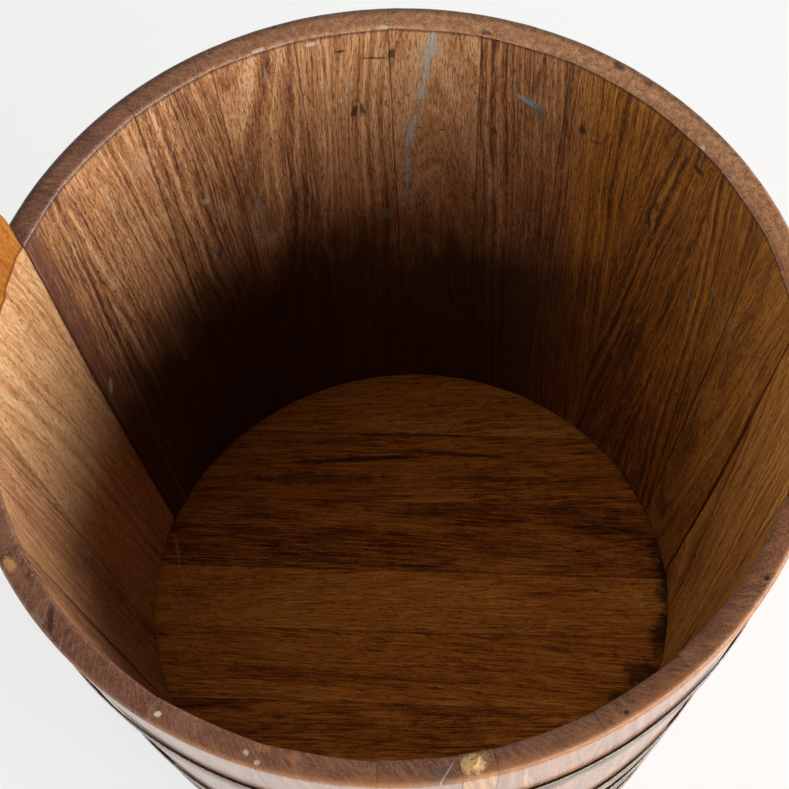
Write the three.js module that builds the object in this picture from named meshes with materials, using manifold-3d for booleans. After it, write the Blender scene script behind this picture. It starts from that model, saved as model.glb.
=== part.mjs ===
// A staved wooden tub for plants: tapered staves held by riveted flat hoops round a floor of dowelled boards.
// Two wider staves rise above the rim as carrying ears. Millimetres, +Z up, origin in the middle of the foot.
import * as THREE from "three";
import { mergeVertices } from "three/addons/utils/BufferGeometryUtils.js";
import Module from "manifold-3d";

const wasm = await Module();
wasm.setup();

// The tub
const RIM_RADIUS = 300; // outside, at the top ends of the staves
const RIM_HEIGHT = 445;
const TAPER = 0.195; // how much the wall leans out, in millimetres for each millimetre of height
const STAVE_THICKNESS = 19.6; // at the middle of a stave, whose inner face is flat
const INNER_EDGE_ROUND = 3; // worn round the top, inside
const OUTER_EDGE_ROUND = 5; // and outside
const FOOT_CHAMFER = 3;
const JOINT = 0.3; // between neighbouring staves and neighbouring boards
const ARC_STEP = 3.6; // degrees of outer wall for each facet
const EDGE_TURNS = [0, 30, 60, 90]; // degrees, the corners of a rounded edge

// The staves, in degrees of the circle. Each run is shared out in proportion to its list, clockwise from above.
const EAR_WIDTH = 26.6;
const EAR_OFF_AXIS = 1.3; // both ears stand this much behind the X axis
const EAR_FLATNESS = 0.7; // 1 is a flat inner face, 0 one hollowed to the round of the tub
const BACK_STAVES = [10, 16.5, 13.5, 13, 14, 14, 14, 14, 14.5, 12, 15.5];
const FRONT_STAVES = [14.5, 14, 14, 14.5, 4.6, 10.9, 15.5, 16, 16, 14.5, 10.5, 11];
const CLOSING_STAVE = 4; // the narrow one that closes the front run, counted from 0

// The ears, above the rim
const EAR_HEIGHT = 80;
const EAR_STRAIGHT = 25; // the sides run on straight this far above the rim
const EAR_CORNER = 45;
const HAND_HOLE_LENGTH = 90;
const HAND_HOLE_HEIGHT = 30;
const HAND_HOLE_CENTRE = 38; // above the rim

// The floor
const FLOOR_TOP = 43; // above the foot
const FLOOR_THICKNESS = 18;
const TONGUE_THICKNESS = 10; // what enters the groove in the staves
const TONGUE_DROP = 1; // the tongue's top below the floor's, so that the floor's face ends clear of the staves
const GROOVE_DEPTH = 7.5;
const BOARD_WIDTHS = [61.5, 60, 60, 52, 61, 62, 62]; // from the back, in proportion
const BOARD_ANGLE = 5; // the boards run at this angle to X, in degrees
const DOWEL_RADIUS = 4;
const DOWEL_LENGTH = 36;
const DOWEL_SPREAD = 0.55; // where the two dowels sit, as a share of the joint's half length
const FIT = 0.3; // clearance of what is seated

// The hoops, flat bands that follow the wall's slope, lapped and riveted at the back
const HOOP_DROPS = { top: 96, upper: 254, lower: 319, foot: 400 }; // from the rim to each band's upper edge
const HOOP_LAP_PLACES = { top: 96, upper: 108, lower: 90, foot: 102 }; // degrees, where each lap begins
const HOOP_WIDTH = 25;
const HOOP_THICKNESS = 1.8;
const HOOP_FIT = 0.5;
const HOOP_STEPS = 90;
const LAP_LENGTH = 56;
const LAP_RAMP = 8; // degrees over which the outer end climbs onto the inner one
const RIVET_SPACING = 28;
const RIVET_RADIUS = 2.5;
const RIVET_HEAD_RADIUS = 5.5;
const RIVET_HEAD_HEIGHT = 2.4;
const RIVET_SIDES = 10;

const rad = THREE.MathUtils.degToRad;
const outerRadius = (z) => RIM_RADIUS - TAPER * (RIM_HEIGHT - z);
const flatRadius = (z) => outerRadius(z) - STAVE_THICKNESS;
const tongueTop = FLOOR_TOP - TONGUE_DROP;
const tongueBottom = tongueTop - TONGUE_THICKNESS;

// Finishes
const finish = (color, roughness, metalness = 0) => new THREE.MeshStandardMaterial({ color, roughness, metalness });
const STAVE_FINISH = { color: 0x7a4a28, roughness: 0.45 };
const EAR_FINISH = { color: 0x9a5c2c, roughness: 0.35 };
const CLOSING_FINISH = { color: 0xc08850, roughness: 0.45 };
const FLOOR_FINISH = { color: 0x5e3716, roughness: 0.55 };
const DOWEL_FINISH = { color: 0xb98d5c, roughness: 0.7 };
const HOOP_FINISH = { color: 0x8c8a86, roughness: 0.35, metalness: 1 };

const group = new THREE.Group();

function addPiece(name, geometry, { color, roughness, metalness }) {
  const mesh = new THREE.Mesh(geometry, finish(color, roughness, metalness));
  mesh.name = name;
  group.add(mesh);
}

// Solids in and out of manifold-3d, for cuts
function solidOf(geometry) {
  const bare = geometry.clone();
  bare.deleteAttribute("normal");
  bare.deleteAttribute("uv");
  const merged = mergeVertices(bare.index ? bare.toNonIndexed() : bare, 1e-4);
  const vertProperties = new Float32Array(merged.attributes.position.array);
  const triVerts = new Uint32Array(merged.index.array);
  return new wasm.Manifold(new wasm.Mesh({ numProp: 3, vertProperties, triVerts }));
}

function geometryOf(solid) {
  const { vertProperties, triVerts } = solid.getMesh();
  const geometry = new THREE.BufferGeometry();
  geometry.setAttribute("position", new THREE.BufferAttribute(new Float32Array(vertProperties), 3));
  geometry.setIndex(new THREE.BufferAttribute(new Uint32Array(triVerts), 1));
  return geometry;
}

// Sweeps an outline of [radius, height] points round the tub: place(x, z, t) gives the radius and the angle.
function sweep(points, steps, place) {
  const outline = new THREE.Shape(points.map(([r, z]) => new THREE.Vector2(r, z)));
  const geometry = new THREE.ExtrudeGeometry(outline, { depth: 1, steps, bevelEnabled: false });
  const position = geometry.attributes.position;
  for (let i = 0; i < position.count; i++) {
    const z = position.getY(i);
    const [radius, angle] = place(position.getX(i), z, position.getZ(i));
    position.setXYZ(i, radius * Math.cos(angle), radius * Math.sin(angle), z);
  }
  return geometry;
}

// The section of a stave, from the foot up the outside and down the inside, with the floor's groove.
function staveOutline(top) {
  const grooveTop = tongueTop + FIT;
  const grooveBottom = tongueBottom - FIT;
  const outside = EDGE_TURNS.map((turn) => {
    const z = top - OUTER_EDGE_ROUND * (1 - Math.sin(rad(turn)));
    return [outerRadius(z) - OUTER_EDGE_ROUND * (1 - Math.cos(rad(turn))), z];
  });
  const inside = EDGE_TURNS.toReversed().map((turn) => {
    const z = top - INNER_EDGE_ROUND * (1 - Math.sin(rad(turn)));
    return [flatRadius(z) + INNER_EDGE_ROUND * (1 - Math.cos(rad(turn))), z];
  });
  return [
    [outerRadius(0) - FOOT_CHAMFER, 0],
    [outerRadius(FOOT_CHAMFER), FOOT_CHAMFER],
    ...outside,
    ...inside,
    [flatRadius(grooveTop), grooveTop],
    [flatRadius(grooveTop) + GROOVE_DEPTH, grooveTop],
    [flatRadius(grooveBottom) + GROOVE_DEPTH, grooveBottom],
    [flatRadius(grooveBottom), grooveBottom],
    [flatRadius(FOOT_CHAMFER), FOOT_CHAMFER],
    [flatRadius(0) + FOOT_CHAMFER, 0],
  ];
}

// A stave between two angles: rounded outside, flat inside, with half a joint taken off each side.
function stave(from, width, top, flatness = 1) {
  const middle = rad(from - width / 2);
  const steps = Math.ceil(width / ARC_STEP);
  return sweep(staveOutline(top), steps, (r, z, t) => {
    const half = rad(width / 2) - JOINT / 2 / r;
    const turn = (1 - 2 * t) * half;
    const isInside = r < outerRadius(z) - STAVE_THICKNESS / 2;
    return [isInside ? r / Math.cos(turn) ** flatness : r, middle + turn];
  });
}

// An ear stave: a taller stave cut to a rounded top with a hand hole. The cutter looks along the ear's own middle.
function earStave(from) {
  const middle = from - EAR_WIDTH / 2;
  const side = outerRadius(RIM_HEIGHT + EAR_STRAIGHT) * Math.sin(rad(EAR_WIDTH / 2));
  const earTop = RIM_HEIGHT + EAR_HEIGHT;
  const below = -FOOT_CHAMFER;
  const blank = new THREE.Shape();
  blank.moveTo(-RIM_RADIUS, below);
  blank.lineTo(RIM_RADIUS, below);
  blank.lineTo(RIM_RADIUS, RIM_HEIGHT + EAR_STRAIGHT);
  blank.lineTo(side, RIM_HEIGHT + EAR_STRAIGHT);
  blank.absellipse(side - EAR_CORNER, RIM_HEIGHT + EAR_STRAIGHT, EAR_CORNER, EAR_HEIGHT - EAR_STRAIGHT,
    0, Math.PI / 2, false);
  blank.absellipse(EAR_CORNER - side, RIM_HEIGHT + EAR_STRAIGHT, EAR_CORNER, EAR_HEIGHT - EAR_STRAIGHT,
    Math.PI / 2, Math.PI, false);
  blank.lineTo(-RIM_RADIUS, RIM_HEIGHT + EAR_STRAIGHT);
  const hole = new THREE.Path();
  const endRadius = HAND_HOLE_HEIGHT / 2;
  const endPlace = HAND_HOLE_LENGTH / 2 - endRadius;
  const holeHeight = RIM_HEIGHT + HAND_HOLE_CENTRE;
  hole.absarc(endPlace, holeHeight, endRadius, -Math.PI / 2, Math.PI / 2, false);
  hole.absarc(-endPlace, holeHeight, endRadius, Math.PI / 2, 1.5 * Math.PI, false);
  blank.holes.push(hole);
  const reach = outerRadius(earTop) * 1.2;
  const cutter = new THREE.ExtrudeGeometry(blank, { depth: reach, bevelEnabled: false, curveSegments: 7 });
  cutter.rotateX(Math.PI / 2);
  cutter.rotateZ(rad(middle + 90));
  const blankStave = stave(from, EAR_WIDTH, earTop, EAR_FLATNESS);
  return geometryOf(solidOf(blankStave).intersect(solidOf(cutter)));
}

function addRun(side, shares, from, to) {
  const total = shares.reduce((sum, share) => sum + share, 0);
  let start = from;
  shares.forEach((share, i) => {
    const width = ((from - to) * share) / total;
    const isClosing = side === "front" && i === CLOSING_STAVE;
    const name = isClosing ? "closing_stave" : `${side}_stave_${String(i + 1).padStart(2, "0")}`;
    addPiece(name, stave(start, width, RIM_HEIGHT), isClosing ? CLOSING_FINISH : STAVE_FINISH);
    start -= width;
  });
}

const leftEarFrom = 180 - EAR_OFF_AXIS + EAR_WIDTH / 2;
const rightEarFrom = EAR_OFF_AXIS + EAR_WIDTH / 2;
addPiece("left_ear_stave", earStave(leftEarFrom), EAR_FINISH);
addRun("back", BACK_STAVES, leftEarFrom - EAR_WIDTH, rightEarFrom);
addPiece("right_ear_stave", earStave(rightEarFrom), EAR_FINISH);
addRun("front", FRONT_STAVES, rightEarFrom - EAR_WIDTH, leftEarFrom - 360);

// The floor: one disc sawn into boards, cut back round both faces so that only a tongue enters the groove.
const floorBottom = FLOOR_TOP - FLOOR_THICKNESS;
const seatRadius = (z) => flatRadius(z) + GROOVE_DEPTH - FIT;
const floorRadius = seatRadius(tongueTop);

function floorDisc() {
  const outline = [
    [0, floorBottom],
    [flatRadius(floorBottom) - FIT, floorBottom],
    [flatRadius(tongueBottom) - FIT, tongueBottom],
    [seatRadius(tongueBottom), tongueBottom],
    [floorRadius, tongueTop],
    [flatRadius(tongueTop) - FIT, tongueTop],
    [flatRadius(FLOOR_TOP) - FIT, FLOOR_TOP],
    [0, FLOOR_TOP],
  ];
  const points = outline.map(([r, z]) => new THREE.Vector2(r, z));
  const disc = new THREE.LatheGeometry(points, 84);
  disc.rotateX(Math.PI / 2);
  return solidOf(disc);
}

const dowelHeight = (FLOOR_TOP + floorBottom) / 2;
const halfChord = (y) => Math.sqrt(floorRadius ** 2 - y ** 2);
const dowelShape = (radius, length, x, y) =>
  new THREE.CylinderGeometry(radius, radius, length, 12).translate(x, y, dowelHeight);

function addFloor() {
  const disc = floorDisc();
  const total = BOARD_WIDTHS.reduce((sum, width) => sum + width, 0);
  const joints = [];
  let y = floorRadius;
  for (const width of BOARD_WIDTHS.slice(0, -1)) {
    y -= (2 * floorRadius * width) / total;
    joints.push(y);
  }
  const dowels = joints.flatMap((joint) => [-1, 1].map((side) => [side * DOWEL_SPREAD * halfChord(joint), joint]));
  const holes = dowels.map(([x, joint]) => solidOf(dowelShape(DOWEL_RADIUS + FIT, DOWEL_LENGTH + 2 * FIT, x, joint)));
  const edges = [floorRadius + JOINT, ...joints, -floorRadius - JOINT];
  for (let i = 0; i < BOARD_WIDTHS.length; i++) {
    const height = edges[i] - edges[i + 1] - JOINT;
    const strip = new THREE.BoxGeometry(3 * floorRadius, height, 3 * FLOOR_THICKNESS);
    strip.translate(0, (edges[i] + edges[i + 1]) / 2, dowelHeight);
    let board = disc.intersect(solidOf(strip));
    for (const hole of holes) board = board.subtract(hole);
    addPiece(`floor_board_${i + 1}`, geometryOf(board).rotateZ(rad(BOARD_ANGLE)), FLOOR_FINISH);
  }
  dowels.forEach(([x, joint], i) => {
    const dowel = dowelShape(DOWEL_RADIUS, DOWEL_LENGTH, x, joint).rotateZ(rad(BOARD_ANGLE));
    addPiece(`floor_dowel_${String(i + 1).padStart(2, "0")}`, dowel, DOWEL_FINISH);
  });
}

addFloor();

// A hoop: one band that goes once round the wall and climbs over its own beginning.
const lapLift = HOOP_THICKNESS + FIT;
const slopeAngle = Math.atan(TAPER);

function rivetShape(radius, height, headRadius) {
  const dome = headRadius
    ? [
        [headRadius, height],
        [headRadius * 0.8, height + RIVET_HEAD_HEIGHT * 0.65],
        [headRadius * 0.4, height + RIVET_HEAD_HEIGHT * 0.95],
        [0, height + RIVET_HEAD_HEIGHT],
      ]
    : [[0, height]];
  const outline = [[0, 0], [radius, 0], [radius, height], ...dome];
  const points = outline.map(([r, z]) => new THREE.Vector2(r, z));
  return new THREE.LatheGeometry(points, RIVET_SIDES);
}

// Stands a rivet on the wall: its own axis, first along Y, turns to point squarely out of the slope.
function onWall(geometry, angle, z, lift) {
  geometry.rotateZ(-Math.PI / 2);
  geometry.rotateY(slopeAngle);
  geometry.translate(outerRadius(z) + lift, 0, z);
  return geometry.rotateZ(angle);
}

function addHoop(name, drop, lapPlace) {
  const upper = RIM_HEIGHT - drop;
  const lower = upper - HOOP_WIDTH * Math.cos(slopeAngle);
  const middle = (upper + lower) / 2;
  const lap = THREE.MathUtils.radToDeg(LAP_LENGTH / outerRadius(middle));
  const turn = 360 + lap;
  const outline = [
    [outerRadius(lower) + HOOP_FIT, lower],
    [outerRadius(lower) + HOOP_FIT + HOOP_THICKNESS, lower],
    [outerRadius(upper) + HOOP_FIT + HOOP_THICKNESS, upper],
    [outerRadius(upper) + HOOP_FIT, upper],
  ];
  const band = sweep(outline, HOOP_STEPS, (r, z, t) => {
    const travelled = turn * t;
    const lift = lapLift * THREE.MathUtils.smoothstep(travelled, 360 - LAP_RAMP, 360);
    return [r + lift, rad(lapPlace + lap - travelled)];
  });
  let hoop = solidOf(band);
  const shank = (HOOP_THICKNESS + lapLift) * Math.cos(slopeAngle);
  for (const end of [-1, 1]) {
    const across = rad(lapPlace + lap / 2) + (end * RIVET_SPACING) / 2 / outerRadius(middle);
    const hole = rivetShape(RIVET_RADIUS + FIT, 3 * shank).translate(0, -shank, 0);
    hoop = hoop.subtract(solidOf(onWall(hole, across, middle, HOOP_FIT)));
    const rivet = rivetShape(RIVET_RADIUS, shank + FIT, RIVET_HEAD_RADIUS);
    const rivetName = `${name}_hoop_rivet_${end < 0 ? 1 : 2}`;
    addPiece(rivetName, onWall(rivet, across, middle, HOOP_FIT), HOOP_FINISH);
  }
  addPiece(`${name}_hoop`, geometryOf(hoop), HOOP_FINISH);
}

for (const name of Object.keys(HOOP_DROPS)) addHoop(name, HOOP_DROPS[name], HOOP_LAP_PLACES[name]);

export default group;
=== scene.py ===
"""A staved wooden planter tub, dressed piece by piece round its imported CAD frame. Metres, +Z up."""

import math
import random

import bmesh
import bpy
from mathutils import Matrix, Vector, noise


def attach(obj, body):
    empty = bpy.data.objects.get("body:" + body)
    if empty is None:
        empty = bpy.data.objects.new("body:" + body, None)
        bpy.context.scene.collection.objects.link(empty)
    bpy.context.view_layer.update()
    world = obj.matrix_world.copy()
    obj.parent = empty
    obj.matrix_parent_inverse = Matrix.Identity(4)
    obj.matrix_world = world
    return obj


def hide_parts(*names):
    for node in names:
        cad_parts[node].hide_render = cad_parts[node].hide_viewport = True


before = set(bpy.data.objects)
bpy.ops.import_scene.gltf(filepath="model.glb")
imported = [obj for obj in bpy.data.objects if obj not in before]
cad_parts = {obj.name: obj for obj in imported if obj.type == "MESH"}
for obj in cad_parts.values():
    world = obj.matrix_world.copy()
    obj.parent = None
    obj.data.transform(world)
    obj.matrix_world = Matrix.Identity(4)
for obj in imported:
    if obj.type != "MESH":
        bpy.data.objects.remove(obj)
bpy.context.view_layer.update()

# ------------------------------------------------------------------ staves
# Twenty-three plain staves stand round the tub, each sawn and planed from its own plank of teak, then
# oiled brown inside and varnished outside. Each is modelled flat, as on the bench: the croze for the floor
# is cut into its profile, its edges are eased, and only then is it set round the tub.
RIM_RADIUS = 0.300
RIM_HEIGHT = 0.445
TAPER = 0.195
WALL = 0.0196
JOINT = 0.0001
OUTER_ROUND = 0.005
INNER_ROUND = 0.003
FOOT_CHAMFER = 0.003
CROZE_LOW = 0.0317
CROZE_HIGH = 0.0423
CROZE_DEPTH = 0.0075
EASE = 0.00018
FACET_WIDTH = 0.0065
FACET_HEIGHT = 0.012
EDGE_STRIP = 0.0014
INNER_WAVE = 0.00025
OUTER_WAVE = 0.0001
RIM_WEAR = 0.00035
WORN_DEPTH = 0.012
EAR_WIDTH = 26.6
EAR_OFF_AXIS = 1.3
# The staves' widths from ear to ear, as shares that come near degrees. CLOSING is the closing stave's place.
BACK_SHARES = [10, 16.5, 13.5, 13, 14, 14, 14, 14, 14.5, 12, 15.5]
FRONT_SHARES = [14.5, 14, 14, 14.5, 4.6, 10.9, 15.5, 16, 16, 14.5, 10.5, 11]
CLOSING = 4
WOOD_SLOPE = math.hypot(1, TAPER)


def outer_radius(z):
    return RIM_RADIUS - TAPER * (RIM_HEIGHT - z)


def only(piece):
    """Makes one object the only selected one, and the active one."""
    bpy.ops.object.select_all(action="DESELECT")
    piece.select_set(True)
    bpy.context.view_layer.objects.active = piece


def copy_of(piece, name):
    """Copies a modelled object, with a mesh of its own."""
    only(piece)
    bpy.ops.object.duplicate()
    made = bpy.context.object
    made.name = made.data.name = name
    return made


def pick(kind, test):
    """In edit mode, selects only the verts, edges or faces that pass the test."""
    modes = {"verts": "VERT", "edges": "EDGE", "faces": "FACE"}
    bpy.ops.mesh.select_mode(type=modes[kind])
    bpy.ops.mesh.select_all(action="DESELECT")
    mesh = bmesh.from_edit_mesh(bpy.context.edit_object.data)
    for item in getattr(mesh, kind):
        if test(item):
            item.select_set(True)
    mesh.select_flush_mode()
    bmesh.update_edit_mesh(bpy.context.edit_object.data)


def all_near(item, axis, place, slack=1e-5):
    return all(abs(v.co[axis] - place) < slack for v in item.verts)


def round_off(offset, segments):
    """Takes the corner off the picked edges."""
    bpy.ops.mesh.bevel(offset=offset, segments=segments, profile=0.5, affect="EDGES")


def slice_at(axis, places, **cut):
    """Cuts everything at planes square to an axis, to add edges there or to saw off what is beyond."""
    for place in places:
        bpy.ops.mesh.select_all(action="SELECT")
        at, normal = Vector(), Vector()
        at[axis], normal[axis] = place, 1
        bpy.ops.mesh.bisect(plane_co=at, plane_no=normal, threshold=1e-6, **cut)


def flat_blank(name, width, top):
    """A stave's plank: X is depth from the outside, Y goes across as at the rim, Z up. Left in edit mode."""
    bpy.ops.object.select_all(action="DESELECT")
    bpy.ops.mesh.primitive_plane_add(size=1, rotation=(math.pi / 2, 0, 0))
    blank = bpy.context.object
    blank.name = blank.data.name = name
    blank.scale = (WALL, top, 1)
    blank.location = (-WALL / 2, -width / 2, top / 2)
    bpy.ops.object.transform_apply()
    bpy.ops.object.mode_set(mode="EDIT")
    slice_at(2, [CROZE_LOW, CROZE_HIGH])
    slice_at(0, [CROZE_DEPTH - WALL])
    deep = CROZE_DEPTH - WALL
    pick(
        "faces",
        lambda f: f.calc_center_median().x < deep and CROZE_LOW < f.calc_center_median().z < CROZE_HIGH,
    )
    bpy.ops.mesh.delete(type="FACE")
    bpy.ops.mesh.select_all(action="SELECT")
    bpy.ops.mesh.dissolve_limited(angle_limit=0.01)
    bpy.ops.mesh.select_all(action="SELECT")
    bpy.ops.mesh.extrude_region_move(TRANSFORM_OT_translate={"value": (0, width, 0)})
    bpy.ops.mesh.select_all(action="SELECT")
    bpy.ops.mesh.normals_make_consistent(inside=False)
    return blank


def ease_edges():
    """Chamfers the foot, rounds the edges from the rim up, and takes the sharpness off every other edge."""
    pick("edges", lambda e: all_near(e, 2, 0) and (all_near(e, 0, 0) or all_near(e, 0, -WALL)))
    round_off(FOOT_CHAMFER, 1)
    for side, radius, segments in ((0, OUTER_ROUND, 5), (-WALL, INNER_ROUND, 4)):
        pick(
            "edges",
            lambda e: all_near(e, 0, side)
            and min(v.co.z for v in e.verts) > RIM_HEIGHT - 1e-4
            and e.calc_face_angle(0) > 0.8,
        )
        round_off(radius, segments)
    bpy.ops.mesh.select_all(action="DESELECT")
    bpy.ops.mesh.edges_select_sharp(sharpness=math.radians(50))
    round_off(EASE, 3)


def lie_in_log(piece, cut, tone, lay):
    """Keeps at each vertex where it lay in its log, how far it is from the plank's edge, and how pale the
    plank is. lay turns a vertex's place into the plank's depth, width and length, and that distance."""
    mesh = piece.data
    heart = Vector((random.uniform(0.05, 0.11), random.uniform(-0.02, 0.02), random.uniform(-40, 40)))
    lean = random.choice((-1, 1)) * random.uniform(0.03, 0.09)
    turn = Matrix.Rotation(math.radians(cut), 3, "Z")
    for kept, kind in (("grain", "FLOAT_VECTOR"), ("edge", "FLOAT"), ("tone", "FLOAT")):
        mesh.attributes.new(kept, kind, "POINT")
    for i, vertex in enumerate(mesh.vertices):
        place, from_edge = lay(vertex.co)
        mesh.attributes["grain"].data[i].vector = turn @ place + heart + Vector((lean * place.z, 0, 0))
        mesh.attributes["edge"].data[i].value = from_edge
        mesh.attributes["tone"].data[i].value = tone


def set_in_tub(stave, middle, width, top, flatness, cut, tone, proud, twist):
    """Leaves edit mode, keeps the plank's own coordinates for the grain, and sets the stave round the tub."""
    half = width / 2
    steps = max(2, math.ceil(width / FACET_WIDTH))
    across = [-half + EDGE_STRIP, half - EDGE_STRIP] + [width * i / steps - half for i in range(1, steps)]
    slice_at(1, across)
    rows = math.ceil(top / FACET_HEIGHT)
    slice_at(2, [top * i / rows for i in range(1, rows)])
    bpy.ops.object.mode_set(mode="OBJECT")
    random.seed(stave.name)

    def lay(at):
        return Vector((at.x, at.y * outer_radius(at.z) / RIM_RADIUS, at.z * WOOD_SLOPE)), half - abs(at.y)

    lie_in_log(stave, cut, tone, lay)
    for vertex in stave.data.vertices:
        depth, y, z = vertex.co
        angle = y / RIM_RADIUS
        inward = min(1, -depth / WALL)
        radius = outer_radius(z) + depth
        # Planed flat inside at mid-height, and hollowed rounder towards the floor and the rim
        hollow = flatness * (0.35 + 0.65 * math.sin(math.pi * min(1, z / RIM_HEIGHT)) ** 2)
        radius += inward * (outer_radius(z) - WALL) * (1 / math.cos(angle) ** hollow - 1)
        radius += inward * (proud + twist * y / half)
        place = middle + angle
        at = Vector((radius * math.cos(place), radius * math.sin(place), z))
        wave = noise.noise(at * 28) + 0.6 * noise.noise(at * 75)
        dent = noise.noise(at * 130 + Vector((7, 3, 1)))
        worn = max(0, 1 - (top - z) / WORN_DEPTH)
        out = Vector((math.cos(place), math.sin(place), 0))
        if inward > 0.95:
            at += out * INNER_WAVE * wave
        elif depth > -0.001:
            at -= out * OUTER_WAVE * (1.8 + wave)
        at.z -= worn * RIM_WEAR * (1 + dent)
        vertex.co = at
    smooth(stave)


def smooth(piece):
    only(piece)
    bpy.ops.object.shade_smooth_by_angle(angle=math.radians(32))


def linear(code):
    """An sRGB hex colour as linear RGBA."""
    parts = [int(code[i : i + 2], 16) / 255 for i in (1, 3, 5)]
    return [c / 12.92 if c <= 0.04045 else ((c + 0.055) / 1.055) ** 2.4 for c in parts] + [1]


def feed(tree, node, inputs):
    """Gives a node's sockets, by name or in order, each a value or a link."""
    for key, value in inputs.items() if isinstance(inputs, dict) else enumerate(inputs):
        if isinstance(value, bpy.types.NodeSocket):
            tree.links.new(value, node.inputs[key])
        else:
            node.inputs[key].default_value = value


def add(tree, kind, inputs=(), output=0, **settings):
    """Adds a node: settings are its properties, and inputs what its sockets are fed. Returns its first
    output, the one that is asked for, or for None the node."""
    made = tree.nodes.new("ShaderNode" + kind)
    for key, value in settings.items():
        setattr(made, key, value)
    feed(tree, made, inputs)
    return made if output is None else made.outputs[output]


def start_material(name):
    material = bpy.data.materials.new(name)
    material.use_nodes = True
    return material, material.node_tree, material.node_tree.nodes["Principled BSDF"]


def teak(name, colours, finish, marks=None):
    """Teak as it grew: rings round the heart of the log, fibre and open pores, all read from where each plank
    lay in its log, so that a face and an end show the same wood. colours run from dark to pale."""
    material, tree, shader = start_material(name)
    grain = add(tree, "Attribute", [], "Vector", attribute_name="grain")
    edge = add(tree, "Attribute", [], "Fac", attribute_name="edge")
    tone = add(tree, "Attribute", [], "Fac", attribute_name="tone")
    here = add(tree, "TexCoord", [], "Object")
    # The tree's slow bends, 110 mm wide and 400 mm long, push everything up to 14 mm sideways
    bend = add(tree, "Mapping", {"Vector": grain, "Scale": (9, 9, 2.5)})
    bend = add(tree, "TexNoise", {"Vector": bend, "Scale": 1, "Detail": 2}, "Color")
    bend = add(tree, "VectorMath", [bend, (0.5, 0.5, 0.5)], operation="SUBTRACT")
    bent = add(tree, "VectorMath", [bend, (0.03, 0.03, 0), grain], operation="MULTIPLY_ADD")
    layers = {}
    for layer, across, along, detail, roughness in (
        ("fibre", 1.3, 36, 4, 0.74),  # finer in the wood, and drawn coarse so that it shows
        ("pores", 0.8, 8, 1, 0.5),  # open vessels, filled with old oil
        ("flecks", 0.9, 2.4, 2, 0.7),  # the grainy look of a dry, brushed face
        ("mottle", 16, 55, 3, 0.6),
        ("slow", 36, 350, 2, 0.5),
        ("ripple", 22, 45, 2, 0.5),
        ("scraped", 3.4, 110, 3, 0.6),
        ("chafed", 1.1, 13, 3, 0.6),
    ):
        spread = (1000 / across, 1000 / across, 1000 / along)
        placed = add(tree, "Mapping", {"Vector": bent, "Scale": spread})
        noisy = {"Vector": placed, "Scale": 1, "Detail": detail, "Roughness": roughness}
        layers[layer] = add(tree, "TexNoise", noisy)
    # Growth rings about 5 mm apart, each broken into finer ones, with a 2 mm ripple
    ring = add(tree, "VectorMath", [bent, (1, 1, 0)], operation="MULTIPLY")
    ring = add(tree, "VectorMath", [ring], "Value", operation="LENGTH")
    ring = add(tree, "Math", [layers["ripple"], 0.005, ring], operation="MULTIPLY_ADD")
    ring = add(tree, "Math", [ring, 210], operation="MULTIPLY")
    ring = {"W": ring, "Scale": 1, "Detail": 4, "Roughness": 0.62}
    ring = add(tree, "TexNoise", ring, noise_dimensions="1D")
    figure = finish.get("figure", 0.3)
    level = add(tree, "Math", [ring, figure], operation="MULTIPLY")
    for layer, share in (("fibre", 0.60 - figure), ("mottle", 0.14), ("slow", 0.12), ("flecks", 0.14)):
        level = add(tree, "Math", [layers[layer], share, level], operation="MULTIPLY_ADD")
    level = add(tree, "MapRange", {"Value": level, "From Min": 0.395, "From Max": 0.605})
    level = add(tree, "Math", [tone, 0.9, level], operation="MULTIPLY_ADD")
    level = add(tree, "Math", [level, 0.45], operation="SUBTRACT")
    ramp = add(tree, "ValToRGB", {"Fac": level}, None)
    stops = ramp.color_ramp.elements
    while len(stops) < len(colours):
        stops.new(0.5)
    for i, code in enumerate(colours):
        stops[i].position = i / (len(colours) - 1)
        stops[i].color = linear(code)
    colour = ramp.outputs["Color"]
    pores = add(tree, "MapRange", {"Value": layers["pores"], "From Min": 0.57, "From Max": 0.68})
    # Streaks scraped pale by handling and rain, then oil in the pores, then dirt in the joints
    for value, begin, end, amount, code in (
        (layers["scraped"], 0.57, 0.67, finish.get("scraped", 0), colours[-1]),
        (layers["chafed"], 0.58, 0.68, finish.get("scraped", 0), colours[-1]),
        (pores, 0, 1, 0.6, colours[0]),
        (edge, 0.0010, 0.0001, finish.get("grime", 0.7), "#1c0f07"),
    ):
        amount = {"Value": value, "From Min": begin, "From Max": end, "To Max": amount}
        amount = add(tree, "MapRange", amount)
        mixed = {"Factor": amount, "A": colour, "B": linear(code)}
        colour = add(tree, "Mix", mixed, "Result", data_type="RGBA")
    rough = add(tree, "Math", [layers["fibre"], 0.16, finish["roughness"]], operation="MULTIPLY_ADD")
    height = add(tree, "Math", [layers["fibre"], ring], operation="ADD")
    height = add(tree, "Math", [pores, -1.4, height], operation="MULTIPLY_ADD")
    if marks:
        colour, rough, height = marks(tree, here, colour, rough, height)
    bump = add(tree, "Bump", {"Height": height, "Strength": finish["bump"], "Distance": 0.0004})
    feed(tree, shader, {"Base Color": colour, "Roughness": rough, "Normal": bump, "IOR": 1.5})
    for socket, key, usual in (
        ("Specular IOR Level", "specular", 0.5),
        ("Coat Weight", "coat", 0),
        ("Coat Roughness", "coat_roughness", 0.1),
        ("Sheen Weight", "dust", 0),
    ):
        feed(tree, shader, {socket: finish.get(key, usual)})
    feed(tree, shader, {"Sheen Roughness": 0.5, "Sheen Tint": linear("#ffdcc4")})
    return material


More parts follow.
